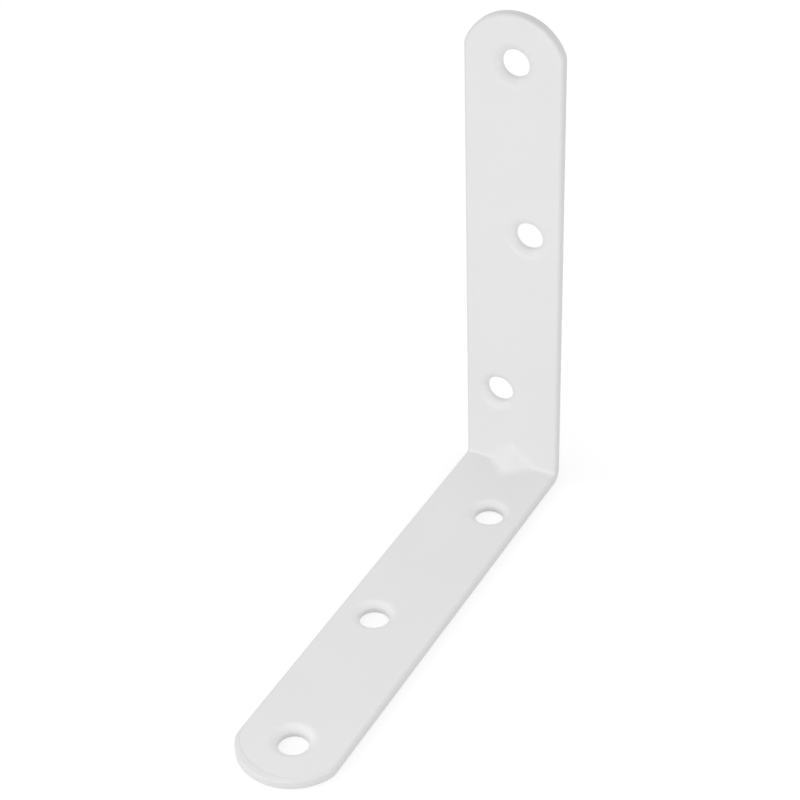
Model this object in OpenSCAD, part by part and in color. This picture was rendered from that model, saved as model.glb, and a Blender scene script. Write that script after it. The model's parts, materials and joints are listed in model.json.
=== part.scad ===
// Angle bracket folded from one steel strip, with round ends, six countersunk screw holes in a zigzag and a dart
// pressed across the inside of the fold. Millimetres. The origin is the outside corner at the middle of the width:
// the lower arm lies along X with its underside at Z = 0, and the upper arm stands along Z with its back at X = 0.

/* [Strip] */
// Width of the strip
strip_w = 19.5; // [15:0.5:30]
// Thickness of the strip with its paint
strip_t = 2; // [1.5:0.1:3]
// Radius that softens the strip's edges
edge_r = 0.5; // [0.2:0.05:0.6]

/* [Arms] */
// Length of the upper arm, from the underside to its tip
upper_len = 100; // [80:1:250]
// Length of the lower arm, from the back to its tip
lower_len = 100; // [80:1:250]
// How much the radius of a round end exceeds half the strip's width
end_ease = 0.55; // [0.25:0.05:2]

/* [Fold] */
// Radius inside the fold
fold_r = 0.6; // [0.3:0.1:3]

/* [Screw holes] */
// Diameter of the holes
hole_d = 5.5; // [4:0.1:6.8]
// Diameter of the countersinks where they open on the inside face
sink_d = 7.5; // [6.9:0.1:9]
// Angle across the cone of the countersinks
sink_angle = 90; // [75:5:120]
// Distance of the end hole from the tip of its arm
end_hole = 10; // [8:0.5:16]
// Distance of the middle hole from the tip of its arm
middle_hole = 45; // [30:0.5:50]
// Distance of the corner hole from the outside of the other arm
corner_hole = 18.5; // [14:0.5:24]
// How far the middle and corner holes are set off the centre line
stagger = 3; // [0:0.25:5]

/* [Dart] */
// How far the dart's crest reaches along each arm from the inside corner
dart_reach = 4; // [3:0.2:6]
// Width of the dart at the inside corner
dart_w = 9.5; // [6:0.25:12]
// Radius of the dart's crest
crest_r = 1.2; // [0.6:0.1:1.5]
// Radius at the bottom of the dent behind the dart
dent_r = 0.4; // [0.3:0.1:0.8]
// How much thinner than the strip the metal is across the dart's flanks
dart_thinning = 0.4; // [0.1:0.1:0.6]

/* [Hidden] */
$fn = 96;
// Outside radius of the fold, which is also where the straight arms begin
fold_outer_r = fold_r + strip_t;
end_r = strip_w / 2 + end_ease;
sink_depth = (sink_d - hole_d) / 2 / tan(sink_angle / 2);
// How far a cutting shape runs past the face that it cuts
overrun = 1;
// Height of the dart's crest above the inside corner, along the corner's diagonal
crest_h = dart_reach / sqrt(2);
// Slope of the dart's flanks, from the foot at the corner up to where they touch the round crest
crest_centre = crest_h - crest_r;
flank_angle = atan2(crest_centre, dart_w / 2) + asin(crest_r / norm([crest_centre, dart_w / 2]));
// Distance of the ridge's flanks from the middle of its foot
flank_offset = crest_centre * cos(flank_angle) + crest_r;
dart_wall = strip_t - dart_thinning;

// The strip's section, softened at its four edges, with the width along X and the outer face on Y = 0
module strip_section() {
    translate([edge_r - strip_w / 2, 0])
        square([strip_w - 2 * edge_r, strip_t]);
    translate([-strip_w / 2, edge_r])
        square([strip_w, strip_t - 2 * edge_r]);
    for (x = [edge_r - strip_w / 2, strip_w / 2 - edge_r], y = [edge_r, strip_t - edge_r])
        translate([x, y])
            circle(r = edge_r);
}

// A disc as thick as the strip, with its rim softened like the strip's edges
module end_disc() {
    rotate_extrude() {
        square([end_r - edge_r, strip_t]);
        translate([0, edge_r])
            square([end_r, strip_t - 2 * edge_r]);
        for (y = [edge_r, strip_t - edge_r])
            translate([end_r - edge_r, y])
                circle(r = edge_r);
    }
}

// One straight arm along X, from the end of the fold to its round tip, with its outer face on Z = 0
module arm(len) {
    intersection() {
        translate([fold_outer_r, 0, 0])
            rotate([90, 0, 90])
                linear_extrude(len - fold_outer_r)
                    strip_section();
        union() {
            translate([len - end_r, 0, 0])
                end_disc();
            translate([0, -strip_w, -overrun])
                cube([len - end_r, 2 * strip_w, strip_t + 2 * overrun]);
        }
    }
}

// The quarter turn that joins the arms
module fold() {
    translate([fold_outer_r, 0, fold_outer_r])
        rotate([90, 0, 0])
            rotate_extrude(angle = 90, start = 180)
                translate([fold_outer_r, 0])
                    rotate(90)
                        strip_section();
}

// One screw hole through an arm that lies along X, countersunk from the inside face
module screw_hole() {
    translate([0, 0, -overrun])
        cylinder(d = hole_d, h = strip_t + 2 * overrun);
    translate([0, 0, strip_t - sink_depth])
        cylinder(d1 = hole_d, d2 = sink_d + 2 * overrun * tan(sink_angle / 2), h = sink_depth + overrun);
}

// The three screw holes of an arm that lies along X, with the corner hole set off to the given side
module arm_holes(len, side) {
    translate([len - end_hole, 0, 0])
        screw_hole();
    translate([len - middle_hole, -side * stagger, 0])
        screw_hole();
    translate([corner_hole, side * stagger, 0])
        screw_hole();
}

// Profile of the dart across the strip: two flanks that meet in a round crest, down to the given foot
module dart_profile(flank, crest, foot) {
    centre = (flank - crest) / cos(flank_angle);
    touch_x = crest * sin(flank_angle);
    touch_y = centre + crest * cos(flank_angle);
    foot_x = touch_x + (touch_y - foot) / tan(flank_angle);
    polygon([[-foot_x, foot], [foot_x, foot], [touch_x, touch_y], [-touch_x, touch_y]]);
    translate([0, centre])
        circle(r = crest);
}

// Carries a profile through the corner at 45 degrees, from one arm to the other
module through_corner(length) {
    translate([strip_t, 0, strip_t])
        rotate([0, 45, 0])
            rotate([90, 0, 90])
                linear_extrude(length, center = true)
                    children();
}

// Everything on the inner side of the strip's mid-surface, near the corner
module inner_side() {
    reach = fold_outer_r + 2 * dart_reach;
    rotate([90, 0, 0])
        linear_extrude(2 * dart_w, center = true) {
            translate([fold_outer_r, fold_outer_r])
                circle(r = fold_outer_r - strip_t / 2);
            translate([fold_outer_r, strip_t / 2])
                square([reach, 2 * reach]);
            translate([strip_t / 2, fold_outer_r])
                square([2 * reach, reach]);
        }
}

// The ridge that the press raises inside the corner, rooted half-way into the strip
module dart_ridge() {
    intersection() {
        through_corner(4 * dart_reach)
            dart_profile(flank_offset, crest_r, -strip_t);
        inner_side();
    }
}

// The dent that the press leaves in the outside of the corner, one wall thickness behind the ridge
module dart_dent() {
    through_corner(4 * dart_reach)
        dart_profile(flank_offset - dart_wall, dent_r, -2 * strip_t);
}

module bracket() {
    color("whitesmoke")
        difference() {
            union() {
                fold();
                arm(lower_len);
                mirror([1, 0, -1])
                    arm(upper_len);
                dart_ridge();
            }
            arm_holes(lower_len, 1);
            mirror([1, 0, -1])
                arm_holes(upper_len, -1);
            dart_dent();
        }
}

bracket();
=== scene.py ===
import json
import math

import bmesh
import bpy
import numpy as np
from mathutils import Matrix, Vector


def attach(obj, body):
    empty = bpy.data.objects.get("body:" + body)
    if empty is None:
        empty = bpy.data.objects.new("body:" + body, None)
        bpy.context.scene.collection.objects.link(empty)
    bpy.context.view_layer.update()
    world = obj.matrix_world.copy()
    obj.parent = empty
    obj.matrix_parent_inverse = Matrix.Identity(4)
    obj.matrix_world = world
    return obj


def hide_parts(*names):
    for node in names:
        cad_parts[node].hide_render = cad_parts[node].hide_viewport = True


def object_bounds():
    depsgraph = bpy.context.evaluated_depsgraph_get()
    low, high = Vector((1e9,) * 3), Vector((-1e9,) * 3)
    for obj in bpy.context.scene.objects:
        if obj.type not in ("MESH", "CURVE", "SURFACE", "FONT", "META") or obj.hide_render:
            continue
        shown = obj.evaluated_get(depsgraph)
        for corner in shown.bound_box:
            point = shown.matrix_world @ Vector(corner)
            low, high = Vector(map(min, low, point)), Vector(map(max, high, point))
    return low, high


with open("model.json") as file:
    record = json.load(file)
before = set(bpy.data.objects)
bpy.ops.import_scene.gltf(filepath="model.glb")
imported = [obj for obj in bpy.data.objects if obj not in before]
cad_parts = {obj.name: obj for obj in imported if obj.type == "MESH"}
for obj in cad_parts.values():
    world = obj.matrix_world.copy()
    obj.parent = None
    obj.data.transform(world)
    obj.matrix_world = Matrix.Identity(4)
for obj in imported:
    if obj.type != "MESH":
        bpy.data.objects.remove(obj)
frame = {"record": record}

cad_low, cad_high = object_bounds()

# The bracket is one steel strip with round ends, pierced and countersunk at six places. It is folded once
# through a right angle with a dart pressed across the inside of the fold, then coated with white powder.

# Its sizes are in millimetres. An arm is worked out lying flat, as (distance from the outside corner, across,
# height above the outer face). The lower arm keeps these as x, y and z. The upper arm swaps first and last.
MM = 0.001
mounts = {mount["name"]: mount for mount in frame["record"]["mounts"]}
arm_length = cad_high.x / MM
half_width = cad_high.y / MM
thickness = 2.0
fold_radius = 0.6
outer_radius = fold_radius + thickness
end_ease = 0.55
end_radius = half_width + end_ease
corner_ease = 0.2

# Each hole sits in a cell of the arm that reaches this far to either side of it. The steps say how finely
# each curve and face is divided.
cell_half = 9.5
cell_steps = 24
strip_steps = 8
across_steps = 64
tip_steps = 96
hole_rings = 10
round_steps = 5
edge_steps = 8
fold_steps = 16
foot_steps = 24

# The blanking tool draws the strip's inner edge down in a roll that is widest round the tips. The faint
# crease where the roll starts is not in the shape: its shade is painted as a dark line in the coat's colour.
# The sheared rim is darker too, partly for its thinner coat and partly as painted shade.
edge_radius = 0.45
lower_tip_roll = 1.3
upper_tip_roll = 0.1
roll_lean = math.radians(-45)
crease_place = 0.2
crease_width = 0.1
crease_shade = 0.5


def line(start, end, steps):
    """Evenly spaced numbers or points from start to end."""
    return np.linspace(start, end, steps + 1)


def rim_rows(tip_roll):
    """The rim's profile from the outer face to the inner face, for a tip that rolls that much wider.

    Both edges are quarter circles: at angle a round one, the inset from the side is radius * (1 - sin a) and
    the depth below the face is radius * (1 - cos a). Each row is the inset along the sides, the further inset
    at the tip, the height, and how much the coat is darkened: partly a thin coat, partly painted shade.
    That is 0 on the faces, and off them the share of the inset that is used up plus a bell curve of painted
    shade at the crease, but at most 1.
    """
    angle = line(0, math.pi / 2, edge_steps)
    outer = edge_radius * (1 - np.stack([np.sin(angle), np.cos(angle)], axis=1))
    inner = outer[::-1] * [1, -1] + [0, thickness]
    edges = np.concatenate([outer, inner])
    widening = np.concatenate([np.zeros(len(outer)), inner[:, 0] / edge_radius * tip_roll])
    rolled = 1 - edges[:, 0] / edge_radius
    # The bell curve is painted shade: it darkens the coat in a line where the crease would be shaded.
    crease = crease_shade * np.exp(-(((rolled - crease_place) / crease_width) ** 2)) * (rolled > 0)
    return np.stack([edges[:, 0], widening, edges[:, 1], np.minimum(rolled + crease, 1)], axis=1)


def rounded_path(points, radii):
    """A path of straight runs whose corners are arcs, as an array of points.

    Each arc touches both its runs: it starts radius * tan(turn / 2) before the corner, and at angle a along
    it the point has gone radius * sin a forward and radius * (1 - cos a) towards the next run.
    """
    points = np.array(points, float)
    run = np.diff(points, axis=0)
    run = run / np.linalg.norm(run, axis=1, keepdims=True)
    turn = np.arccos(np.sum(run[:-1] * run[1:], axis=1))[:, None]
    inward = (run[1:] - np.cos(turn) * run[:-1]) / np.sin(turn)
    radius = np.array(radii, float)[:, None]
    start = points[1:-1] - radius * np.tan(turn / 2) * run[:-1]
    angle = turn * line(0, 1, round_steps)
    forward = (radius * np.sin(angle))[..., None] * run[:-1, None]
    sideways = (radius * (1 - np.cos(angle)))[..., None] * inward[:, None]
    return (start[:, None] + forward + sideways).reshape(-1, 2)


# Each hole runs from the countersink's soft lip, down the cone and the land, to the eased edge on the outer
# face. The path's first and last points lie out on the two faces and only give its directions there.
hole_radius = mounts["lower_end_hole"]["dims"]["r_mm"]
sink_radius = 3.75
sink_depth = 1.0
lip_round = 1.8
throat_round = 0.7
back_round = 0.12
face_run = 1
hole_profile = rounded_path(
    [
        (sink_radius + face_run, thickness),
        (sink_radius, thickness),
        (hole_radius, thickness - sink_depth),
        (hole_radius, 0),
        (hole_radius + face_run, 0),
    ],
    [lip_round, throat_round, back_round],
)


def tip_path(inset, widening, start):
    """The outline round an arm's tip, from one side to the other, set in from the rim.

    In polar form about the centre of the round end, the radius is the smaller of the arc's and of the
    straight side's, half / |sin angle|. The smooth minimum takes share^2 * ease / 4 off the slight corner
    between them. The inset grows round the tip by widening * cos(angle) * cos(angle - roll_lean), where both
    are above 0.
    """
    centre = arm_length - end_radius
    turn = math.atan2(half_width - inset, start - centre)
    angle = line(-turn, turn, tip_steps)
    inset = inset + widening * np.maximum(np.cos(angle), 0) * np.maximum(np.cos(angle - roll_lean), 0)
    half = half_width - inset
    arc = end_radius - inset
    least_sine = half_width / (2 * arm_length)
    side = half / np.maximum(np.abs(np.sin(angle)), least_sine)
    share = np.clip(1 - np.abs(side - arc) / corner_ease, 0, None)
    round_part = np.minimum(side, arc) - share**2 * corner_ease / 4
    radius = np.where(np.abs(angle) < math.pi / 2, round_part, side)
    return np.stack([centre + radius * np.cos(angle), radius * np.sin(angle)], axis=1)


def cell_loop(start, end, inset, widening):
    """A cell's closed outline, anticlockwise, with its first point repeated. The tip's cell has no end."""
    half = half_width - inset
    if end is None:
        outline = tip_path(inset, widening, start)
    else:
        outline = np.concatenate(
            [
                line((start, -half), (end, -half), cell_steps)[:-1],
                line((end, -half), (end, half), across_steps)[:-1],
                line((end, half), (start, half), cell_steps),
            ]
        )
    return np.concatenate([outline, line((start, half), (start, -half), across_steps)[1:]])


def at_height(plan, height, thinness_and_shade=0):
    """Plan points with two more columns: the height above the outer face, and how much the coat is darkened.

    The darkening is partly a thin coat and partly painted shade.
    """
    return np.concatenate([plan, np.broadcast_to([height, thinness_and_shade], plan.shape[:-1] + (2,))], axis=-1)


def arm_grids(holes, tip_roll):
    """The grids of points that make one arm, from the holes' centres, nearest the corner first.

    Round a hole, a face blends from the hole's ring to the cell's outline along straight spokes, with its
    rings closer near both. Between the cells it is a plain grid. The rim carries its profile round the whole
    arm.
    """
    grids = []
    tip_start = holes[-1][0] - cell_half
    spans = [(x - cell_half, x + cell_half) for x, _ in holes[:-1]] + [(tip_start, None)]
    gaps = [line(before[1], after[0], strip_steps) for before, after in zip(spans[:-1], spans[1:])]
    rows = rim_rows(tip_roll)
    faces = [(rows[-1], hole_profile[0]), (rows[0], hole_profile[-1])]
    share = ((1 - np.cos(line(0, math.pi, hole_rings))) / 2)[:, None, None]
    for (start, end), centre in zip(spans, holes):
        spoke = cell_loop(start, end, edge_radius, 0) - centre
        spoke = spoke / np.linalg.norm(spoke, axis=1, keepdims=True)
        rings = [at_height(centre + radius * spoke, height) for radius, height in hole_profile]
        grids.append(np.stack(rings))
        for (inset, widening, _, _), (radius, height) in faces:
            ring = centre + radius * spoke
            loop = cell_loop(start, end, inset, widening)
            grids.append(at_height(ring + share * (loop - ring), height))
    for along in gaps:
        for (inset, _, height, _), _ in faces:
            across = line(inset - half_width, half_width - inset, across_steps)
            grids.append(at_height(np.stack(np.meshgrid(along, across), axis=-1), height))
    stations = [line(start, end, cell_steps) for start, end in spans[:-1]]
    side = np.concatenate([part[:-1] for pair in zip(stations, gaps) for part in pair])
    rim = []
    for inset, widening, height, thinness_and_shade in rows:
        flank = np.full_like(side, half_width - inset)
        plan = [
            np.stack([side, -flank], axis=1),
            tip_path(inset, widening, tip_start),
            np.stack([side, flank], axis=1)[::-1],
        ]
        rim.append(at_height(np.concatenate(plan), height, thinness_and_shade))
    grids.append(np.stack(rim))
    return grids


def upright(grid):
    """A lower arm's points as the upper arm's: the arm's length goes up and its thickness goes along x."""
    return grid[..., [2, 1, 0, 3]]


# The fold and its dart. The dart is a ridge at 45 degrees across the inside corner, with a round crest and
# two flanks that run out into the strip, and the press leaves its dent one wall behind it on the outside.
dart_reach = 4
dart_half = 4.75
crest_radius = 1.2
dent_radius = 0.4
dart_wall = 1.6
dart_ease = 1.2
dent_ease = 0.6

# A flank is the line from the dart's foot that touches the crest's circle. Its angle is the angle up to the
# circle's centre plus the one that the circle fills above it, and its offset is its distance from the corner.
crest_centre = dart_reach / math.sqrt(2) - crest_radius
flank_angle = math.atan2(crest_centre, dart_half) + math.asin(
    crest_radius / math.hypot(crest_centre, dart_half)
)
flank_offset = crest_centre * math.cos(flank_angle) + crest_radius


def dart_height(across, offset, radius):
    """How far a dart rises above the inside corner, along the corner's diagonal.

    The flanks are straight lines at the flank angle, (offset - |across| sin) / cos. The crest between them is
    a circle that touches both: its centre's height plus the root of radius^2 - across^2.
    """
    sine = math.sin(flank_angle)
    cosine = math.cos(flank_angle)
    reach = np.minimum(np.abs(across), radius * sine)
    crest = (offset - radius) / cosine + np.sqrt(radius**2 - reach**2)
    flank = (offset - np.abs(across) * sine) / cosine
    return np.where(np.abs(across) < radius * sine, crest, flank)


def fold_line(height, end):
    """The strip's line through the corner at one height above its outer face, in (x, z), from arm to arm.

    Between the straight feet it is a quarter circle about the fold's centre: at angle a round it, x and z are
    the centre's less radius * sin a and less radius * cos a.
    """
    radius = outer_radius - height
    angle = line(0, math.pi / 2, fold_steps)[1:-1]
    foot = line(end, outer_radius, foot_steps)
    lower = np.stack([foot, np.full_like(foot, height)], axis=1)
    turn = outer_radius - radius * np.stack([np.sin(angle), np.cos(angle)], axis=1)
    return np.concatenate([lower, turn, lower[::-1, ::-1]])


def fold_face(height, end, offset, radius, ease):
    """One face of the strip through the corner, raised to the dart where the dart is higher.

    Both heights are measured from the inside corner along its diagonal. The smooth maximum adds
    share^2 * ease / 4 where they differ by less than ease, as drawn metal does where it leaves the plane.
    """
    path = fold_line(height, end)[:, None]
    across = line(edge_radius - half_width, half_width - edge_radius, across_steps)[None]
    plain = (path.sum(axis=-1) - 2 * thickness) / math.sqrt(2)
    raised = dart_height(across, offset, radius)
    share = np.clip(1 - np.abs(plain - raised) / ease, 0, None)
    lift = np.maximum(raised - plain, 0) + share**2 * ease / 4
    moved = path + (lift / math.sqrt(2))[..., None]
    across = np.broadcast_to(across, lift.shape)
    return np.stack([moved[..., 0], across, moved[..., 1], np.zeros(lift.shape)], axis=-1)


def fold_side(side, end):
    """The rim's band along one side of the fold.

    A point at some height is that share of the thickness along the way from the outer line to the inner one.
    """
    outer = fold_line(0, end)
    inner = fold_line(thickness, end)
    inset, _, height, thinness_and_shade = rim_rows(0).T[:, :, None, None]
    path = outer + height / thickness * (inner - outer)
    across = np.broadcast_to(side * (half_width - inset), path.shape[:2] + (1,))
    thinness_and_shade = np.broadcast_to(thinness_and_shade, across.shape)
    return np.concatenate([path[..., :1], across, path[..., 1:], thinness_and_shade], axis=-1)


def holes_of(arm, along):
    """The centres of an arm's holes, nearest the corner first, as (distance from the corner, across)."""
    places = [mounts[f"{arm}_{name}_hole"]["pos_m"] for name in ("corner", "middle", "end")]
    return [(place[along] / MM, place[1] / MM) for place in places]


def squares_of(shape, start):
    """The squares of a grid of points that are numbered row by row from start, as four corners each.

    A square is split from its first corner to its third. Two opposite quarters of the grid start from another
    corner, so that on all four sides of the dart the splits run along its edge and not across it.
    """
    index = start + np.arange(shape[0] * shape[1]).reshape(shape)
    corners = np.stack([index[:-1, :-1], index[1:, :-1], index[1:, 1:], index[:-1, 1:]], axis=-1)
    row, column = np.indices(corners.shape[:2])
    turned = (row < corners.shape[0] / 2) == (column < corners.shape[1] / 2)
    corners[turned] = np.roll(corners[turned], 1, axis=1)
    return corners.reshape(-1, 4)


# The two arms meet the fold where the cells of their first holes begin, at the same distance from the corner.
lower_holes = holes_of("lower", 0)
upper_holes = holes_of("upper", 2)
fold_end = lower_holes[0][0] - cell_half
grids = arm_grids(lower_holes, lower_tip_roll)
grids.extend(upright(grid) for grid in arm_grids(upper_holes, upper_tip_roll))
grids.append(fold_face(thickness, fold_end, flank_offset, crest_radius, dart_ease))
grids.append(fold_face(0, fold_end, flank_offset - dart_wall, dent_radius, dent_ease))
grids.extend([fold_side(-1, fold_end), fold_side(1, fold_end)])

# The grids share the points along their seams, which are merged. Each point keeps how much its coat is
# darkened, partly for a thin coat and partly as painted shade on the rims and the crease.
table = np.concatenate([grid.reshape(-1, 4) for grid in grids])
points = table[:, :3] * MM
shapes = [grid.shape[:2] for grid in grids]
starts = np.cumsum([0] + [rows * columns for rows, columns in shapes[:-1]])
squares = np.concatenate([squares_of(shape, start) for shape, start in zip(shapes, starts)])
seam_gap = 0.001 * MM
mesh = bpy.data.meshes.new("painted_bracket")
mesh.from_pydata(points.tolist(), [], squares.tolist())
mesh.attributes.new("thin_coat_and_painted_shade", "FLOAT", "POINT").data.foreach_set("value", table[:, 3])
shell = bmesh.new()
shell.from_mesh(mesh)
bmesh.ops.remove_doubles(shell, verts=shell.verts, dist=seam_gap)
bmesh.ops.recalc_face_normals(shell, faces=shell.faces)
shell.to_mesh(mesh)
shell.free()
mesh.shade_smooth()
bracket = bpy.data.objects.new("painted_bracket", mesh)
bpy.context.scene.collection.objects.link(bracket)

# The coat's tone and gloss drift in soft clouds, and a fine orange peel dimples it. Over the rim and the
# crease it is darker and duller: the darkening is partly a thinner coat and partly painted shade. The waves
# are counted along a metre.
coat_ior = 1.5
dark_cloud = (0.766, 0.761, 0.762, 1)
light_cloud = (0.801, 0.796, 0.797, 1)
tone_waves = 60
tone_detail = 3
rim_shade_tone = 0.85
least_roughness = 0.38
most_roughness = 0.48
gloss_waves = 140
gloss_detail = 2
thin_dulling = 0.12
peel_waves = 900
peel_detail = 2
peel_strength = 0.12
peel_depth = 0.02 * MM
paint = bpy.data.materials.new("white_powder_coat")
paint.use_nodes = True
nodes = paint.node_tree.nodes
links = paint.node_tree.links
where = nodes.new("ShaderNodeTexCoord").outputs["Object"]


def noise(waves, detail):
    """Cloudy noise at that many waves a metre, in the bracket's own coordinates."""
    node = nodes.new("ShaderNodeTexNoise")
    node.inputs["Scale"].default_value = waves
    node.inputs["Detail"].default_value = detail
    links.new(where, node.inputs["Vector"])
    return node.outputs["Fac"]


def grey(share):
    """A colour with the same share of red, green and blue."""
    return (share, share, share, 1)


shader = nodes["Principled BSDF"]
shader.inputs["IOR"].default_value = coat_ior
coat_thin_and_shade = nodes.new("ShaderNodeAttribute")
coat_thin_and_shade.attribute_name = "thin_coat_and_painted_shade"
tone = nodes.new("ShaderNodeMix")
tone.data_type = "RGBA"
tone.inputs["A"].default_value = dark_cloud
tone.inputs["B"].default_value = light_cloud
links.new(noise(tone_waves, tone_detail), tone.inputs["Factor"])
# The rims and the crease are multiplied darker here: partly a thinner coat, partly painted shade.
rim_painted_shade = nodes.new("ShaderNodeMix")
rim_painted_shade.data_type = "RGBA"
rim_painted_shade.blend_type = "MULTIPLY"
rim_painted_shade.inputs["B"].default_value = grey(rim_shade_tone)
links.new(coat_thin_and_shade.outputs["Fac"], rim_painted_shade.inputs["Factor"])
links.new(tone.outputs["Result"], rim_painted_shade.inputs["A"])
links.new(rim_painted_shade.outputs["Result"], shader.inputs["Base Color"])
gloss = nodes.new("ShaderNodeMapRange")
gloss.inputs["To Min"].default_value = least_roughness
gloss.inputs["To Max"].default_value = most_roughness
links.new(noise(gloss_waves, gloss_detail), gloss.inputs["Value"])
dull = nodes.new("ShaderNodeMath")
dull.operation = "MULTIPLY_ADD"
dull.inputs[1].default_value = thin_dulling
links.new(coat_thin_and_shade.outputs["Fac"], dull.inputs[0])
links.new(gloss.outputs["Result"], dull.inputs[2])
links.new(dull.outputs["Value"], shader.inputs["Roughness"])
peel = nodes.new("ShaderNodeBump")
peel.inputs["Strength"].default_value = peel_strength
peel.inputs["Distance"].default_value = peel_depth
links.new(noise(peel_waves, peel_detail), peel.inputs["Height"])
links.new(peel.outputs["Normal"], shader.inputs["Normal"])
mesh.materials.append(paint)

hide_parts("bracket")
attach(bracket, "root")

# The table top under the bracket is a plain white sheet, far larger than the view, with its sizes in metres.
# It glows a little, which lights the walls of the holes. To the eye most of its white is its own, and the
# shadow dims only the rest.
floor_half = 3.0
sheet_share = 0.6
sheet_glow = 0.1
seen_share = 0.45
near_glow = 0.6
far_glow = 0.67
near_reach = 0.15
far_reach = 0.7
floor_mesh = bpy.data.meshes.new("floor")
floor_corners = np.array([(-1, -1, 0), (1, -1, 0), (1, 1, 0), (-1, 1, 0)]) * floor_half
floor_mesh.from_pydata(floor_corners.tolist(), [], [(0, 1, 2, 3)])
floor = bpy.data.objects.new("floor", floor_mesh)
bpy.context.scene.collection.objects.link(floor)
sheet = bpy.data.materials.new("white_sheet")
sheet.use_nodes = True
nodes = sheet.node_tree.nodes
links = sheet.node_tree.links
nodes.remove(nodes["Principled BSDF"])


def glowing_matt(share):
    """A matt grey surface with a glow added to it: its shader, and the socket for the glow's strength."""
    matt = nodes.new("ShaderNodeBsdfDiffuse")
    matt.inputs["Color"].default_value = grey(share)
    glow = nodes.new("ShaderNodeEmission")
    both = nodes.new("ShaderNodeAddShader")
    links.new(matt.outputs["BSDF"], both.inputs[0])
    links.new(glow.outputs["Emission"], both.inputs[1])
    return both.outputs["Shader"], glow.inputs["Strength"]


def split_by_ray(tree, bounced, seen):
    """A shader that is seen on rays from the eye, in mirrors and through glass, and bounced on all others."""
    nodes = tree.nodes
    links = tree.links
    ray = nodes.new("ShaderNodeLightPath")
    straight = nodes.new("ShaderNodeMath")
    straight.operation = "ADD"
    links.new(ray.outputs["Is Camera Ray"], straight.inputs[0])
    links.new(ray.outputs["Is Glossy Ray"], straight.inputs[1])
    to_eye = nodes.new("ShaderNodeMath")
    to_eye.operation = "ADD"
    to_eye.use_clamp = True
    links.new(straight.outputs["Value"], to_eye.inputs[0])
    links.new(ray.outputs["Is Transmission Ray"], to_eye.inputs[1])
    pick = nodes.new("ShaderNodeMixShader")
    links.new(to_eye.outputs["Value"], pick.inputs["Fac"])
    links.new(bounced, pick.inputs[1])
    links.new(seen, pick.inputs[2])
    return pick.outputs["Shader"]


# Away from the bracket the sheet's own white rises smoothly, and stays pure where less light reaches it.
lit_sheet, lit_glow = glowing_matt(sheet_share)
lit_glow.default_value = sheet_glow
seen_sheet, seen_glow = glowing_matt(seen_share)
away = nodes.new("ShaderNodeVectorMath")
away.operation = "LENGTH"
links.new(nodes.new("ShaderNodeTexCoord").outputs["Object"], away.inputs[0])
fade = nodes.new("ShaderNodeMapRange")
fade.interpolation_type = "SMOOTHSTEP"
fade.inputs["From Min"].default_value = near_reach
fade.inputs["From Max"].default_value = far_reach
fade.inputs["To Min"].default_value = near_glow
fade.inputs["To Max"].default_value = far_glow
links.new(away.outputs["Value"], fade.inputs["Value"])
links.new(fade.outputs["Result"], seen_glow)
surface = split_by_ray(sheet.node_tree, lit_sheet, seen_sheet)
links.new(surface, nodes["Material Output"].inputs["Surface"])
floor_mesh.materials.append(sheet)

# The light is an even white room, a little dimmer on the bracket than to the eye, and four soft boxes: along
# the bracket's right side, at the toe, in front, and high on the left.
room_strength = 0.81
room = bpy.data.worlds.new("room")
room.use_nodes = True
nodes = room.node_tree.nodes
dim = nodes["Background"]
dim.inputs["Color"].default_value = grey(1)
dim.inputs["Strength"].default_value = room_strength
white = nodes.new("ShaderNodeBackground")
white.inputs["Color"].default_value = grey(1)
surface = split_by_ray(room.node_tree, dim.outputs["Background"], white.outputs["Background"])
room.node_tree.links.new(surface, nodes["World Output"].inputs["Surface"])
bpy.context.scene.world = room


def soft_box(name, place, aim, width, height, watts):
    """A rectangular lamp at a place, turned to face an aim, both in metres."""
    lamp = bpy.data.lights.new(name, "AREA")
    lamp.shape = "RECTANGLE"
    lamp.size = width
    lamp.size_y = height
    lamp.energy = watts
    holder = bpy.data.objects.new(name, lamp)
    holder.location = place
    holder.rotation_euler = (Vector(place) - Vector(aim)).to_track_quat("Z", "Y").to_euler()
    holder.visible_camera = False
    bpy.context.scene.collection.objects.link(holder)


soft_box("right_strip", place=(0.06, 0.22, 0.045), aim=(0.06, 0, 0.03), width=0.3, height=0.08, watts=0.122)
soft_box("toe_strip", place=(0.21, -0.05, 0.03), aim=(0.1, 0, 0), width=0.14, height=0.05, watts=0.025)
soft_box("front_strip", place=(0.3, -0.02, 0.04), aim=(0.05, 0, 0.02), width=0.24, height=0.07, watts=0.12)
soft_box("left_box", place=(0.25, -0.8, 0.6), aim=(0.03, 0, 0.04), width=0.6, height=0.6, watts=1.42)

# The camera stands in front of the bracket's open side and looks down on it, a little rolled, with a long
# lens. Its place, in millimetres, was worked out from the bracket's outline and its holes in the photograph.
azimuth = math.radians(118.68)
elevation = math.radians(35.192)
roll = math.radians(-1.862)
distance = 404.5
slide_right = -11.13
slide_up = 5.75
focal_length = 97.1
film_width = 36
nearest_seen = 10
aim = Vector((25, 0, 25))
back = Vector(
    (
        math.sin(azimuth) * math.cos(elevation),
        -math.cos(azimuth) * math.cos(elevation),
        math.sin(elevation),
    )
)
level = Vector((math.cos(azimuth), math.sin(azimuth), 0))
rise = back.cross(level)
right = math.cos(roll) * level + math.sin(roll) * rise
up = math.cos(roll) * rise - math.sin(roll) * level
stand = (aim + distance * back + slide_right * right + slide_up * up) * MM
camera_data = bpy.data.cameras.new("camera")
camera_data.lens = focal_length
camera_data.sensor_width = film_width
camera_data.clip_start = nearest_seen * MM
camera = bpy.data.objects.new("camera", camera_data)
camera.matrix_world = Matrix.Translation(stand) @ Matrix((right, up, back)).transposed().to_4x4()
bpy.context.scene.collection.objects.link(camera)
bpy.context.scene.camera = camera
bpy.context.scene.view_settings.view_transform = "Standard"
